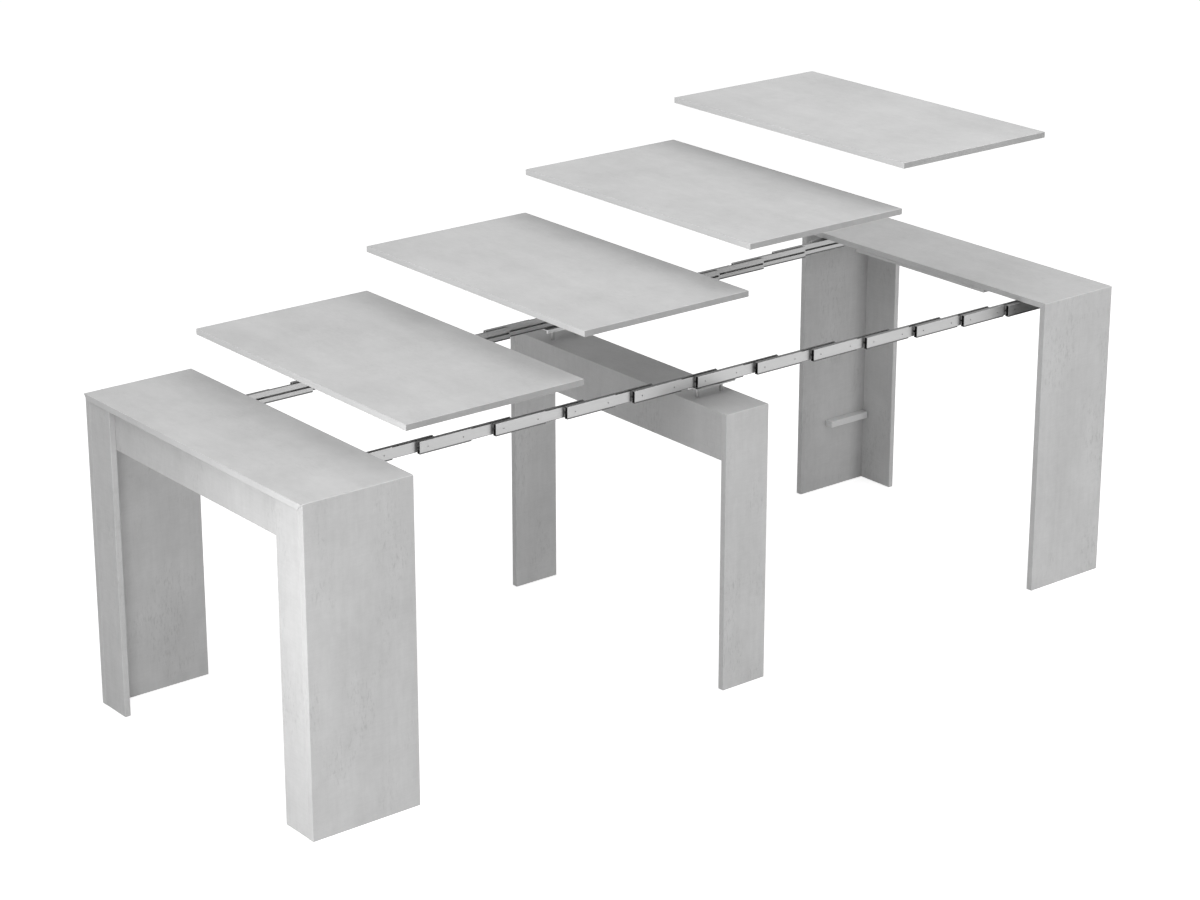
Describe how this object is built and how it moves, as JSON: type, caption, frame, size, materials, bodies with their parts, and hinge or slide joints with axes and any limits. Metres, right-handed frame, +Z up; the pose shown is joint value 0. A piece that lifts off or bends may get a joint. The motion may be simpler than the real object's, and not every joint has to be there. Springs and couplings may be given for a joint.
{
  "type": "extending console table",
  "caption": "Extending console table: two end frames joined by telescopic rails, with a middle support frame and loose leaves that drop onto the rails.",
  "frame": {"origin": "on the floor, under the middle of the table's box when it is pulled out", "axes": "+X along the table from the near end frame to the far end frame, +Y to the left, +Z up"},
  "size_m": [2.4574, 0.9, 1.212],
  "materials": {
    "cement_board": "matt cement-effect melamine on particle board, with edges banded to match",
    "rail_aluminium": "satin, drawn",
    "glide_nylon": "moulded nylon",
    "bracket_steel": "zinc plated"
  },
  "bodies": {
    "near_frame": {"near_top": "cement_board", "near_left_side": "cement_board", "near_right_side": "cement_board", "near_left_front": "cement_board", "near_right_front": "cement_board", "near_apron": "cement_board", "near_rail_mounts": "bracket_steel", "left_rail_00": "rail_aluminium", "right_rail_00": "rail_aluminium", "rail_glides_00": "glide_nylon"},
    "far_frame": {"far_top": "cement_board", "far_left_side": "cement_board", "far_right_side": "cement_board", "far_left_back": "cement_board", "far_right_back": "cement_board", "far_batten": "cement_board", "far_leaf_ledges": "cement_board", "far_rail_mounts": "bracket_steel", "left_rail_11": "rail_aluminium", "right_rail_11": "rail_aluminium"},
    "rail_stage_01": {"left_rail_01": "rail_aluminium", "right_rail_01": "rail_aluminium", "rail_glides_01": "glide_nylon"},
    "rail_stage_02": {"left_rail_02": "rail_aluminium", "right_rail_02": "rail_aluminium", "rail_glides_02": "glide_nylon"},
    "rail_stage_03": {"left_rail_03": "rail_aluminium", "right_rail_03": "rail_aluminium", "rail_glides_03": "glide_nylon"},
    "rail_stage_04": {"left_rail_04": "rail_aluminium", "right_rail_04": "rail_aluminium", "rail_glides_04": "glide_nylon"},
    "middle_frame": {"left_rail_05": "rail_aluminium", "right_rail_05": "rail_aluminium", "rail_glides_05": "glide_nylon", "middle_left_leg": "cement_board", "middle_right_leg": "cement_board", "middle_front_apron": "cement_board", "middle_rear_apron": "cement_board", "middle_top": "cement_board", "middle_rail_brackets": "bracket_steel"},
    "rail_stage_06": {"left_rail_06": "rail_aluminium", "right_rail_06": "rail_aluminium", "rail_glides_06": "glide_nylon"},
    "rail_stage_07": {"left_rail_07": "rail_aluminium", "right_rail_07": "rail_aluminium", "rail_glides_07": "glide_nylon"},
    "rail_stage_08": {"left_rail_08": "rail_aluminium", "right_rail_08": "rail_aluminium", "rail_glides_08": "glide_nylon"},
    "rail_stage_09": {"left_rail_09": "rail_aluminium", "right_rail_09": "rail_aluminium", "rail_glides_09": "glide_nylon"},
    "rail_stage_10": {"left_rail_10": "rail_aluminium", "right_rail_10": "rail_aluminium", "rail_glides_10": "glide_nylon"},
    "leaf_1": {"leaf_1": "cement_board"},
    "leaf_2": {"leaf_2": "cement_board"},
    "leaf_3": {"leaf_3": "cement_board"},
    "leaf_4": {"leaf_4": "cement_board"}
  },
  "joints": [
    {"name": "table_extension", "type": "slide", "parent": "near_frame", "child": "far_frame", "axis": [1, 0, 0], "range_m": [-1.926, 0]},
    {"name": "rail_stage_01_slide", "type": "slide", "parent": "near_frame", "child": "rail_stage_01", "axis": [1, 0, 0], "range_m": [-0.2051, 0]},
    {"name": "rail_stage_02_slide", "type": "slide", "parent": "near_frame", "child": "rail_stage_02", "axis": [1, 0, 0], "range_m": [-0.4042, 0]},
    {"name": "rail_stage_03_slide", "type": "slide", "parent": "near_frame", "child": "rail_stage_03", "axis": [1, 0, 0], "range_m": [-0.5973, 0]},
    {"name": "rail_stage_04_slide", "type": "slide", "parent": "near_frame", "child": "rail_stage_04", "axis": [1, 0, 0], "range_m": [-0.7844, 0]},
    {"name": "middle_frame_slide", "type": "slide", "parent": "near_frame", "child": "middle_frame", "axis": [1, 0, 0], "range_m": [-0.9655, 0]},
    {"name": "rail_stage_06_slide", "type": "slide", "parent": "near_frame", "child": "rail_stage_06", "axis": [1, 0, 0], "range_m": [-1.1406, 0]},
    {"name": "rail_stage_07_slide", "type": "slide", "parent": "near_frame", "child": "rail_stage_07", "axis": [1, 0, 0], "range_m": [-1.3097, 0]},
    {"name": "rail_stage_08_slide", "type": "slide", "parent": "near_frame", "child": "rail_stage_08", "axis": [1, 0, 0], "range_m": [-1.4728, 0]},
    {"name": "rail_stage_09_slide", "type": "slide", "parent": "near_frame", "child": "rail_stage_09", "axis": [1, 0, 0], "range_m": [-1.6299, 0]},
    {"name": "rail_stage_10_slide", "type": "slide", "parent": "near_frame", "child": "rail_stage_10", "axis": [1, 0, 0], "range_m": [-1.781, 0]},
    {"name": "leaf_1_lowering", "type": "slide", "parent": "rail_stage_02", "child": "leaf_1", "axis": [0, 0, -1], "range_m": [0, 0.104]},
    {"name": "leaf_2_lowering", "type": "slide", "parent": "rail_stage_04", "child": "leaf_2", "axis": [0, 0, -1], "range_m": [0, 0.215]},
    {"name": "leaf_3_lowering", "type": "slide", "parent": "rail_stage_07", "child": "leaf_3", "axis": [0, 0, -1], "range_m": [0, 0.326]},
    {"name": "leaf_4_lowering", "type": "slide", "parent": "rail_stage_09", "child": "leaf_4", "axis": [0, 0, -1], "range_m": [0, 0.437]}
  ],
  "couplings": [
    {"joint": "rail_stage_01_slide", "follows": "table_extension", "ratio": 0.10649},
    {"joint": "rail_stage_02_slide", "follows": "table_extension", "ratio": 0.20986},
    {"joint": "rail_stage_03_slide", "follows": "table_extension", "ratio": 0.31011},
    {"joint": "rail_stage_04_slide", "follows": "table_extension", "ratio": 0.40725},
    {"joint": "middle_frame_slide", "follows": "table_extension", "ratio": 0.50127},
    {"joint": "rail_stage_06_slide", "follows": "table_extension", "ratio": 0.59218},
    {"joint": "rail_stage_07_slide", "follows": "table_extension", "ratio": 0.67998},
    {"joint": "rail_stage_08_slide", "follows": "table_extension", "ratio": 0.76466},
    {"joint": "rail_stage_09_slide", "follows": "table_extension", "ratio": 0.84622},
    {"joint": "rail_stage_10_slide", "follows": "table_extension", "ratio": 0.92467}
  ]
}
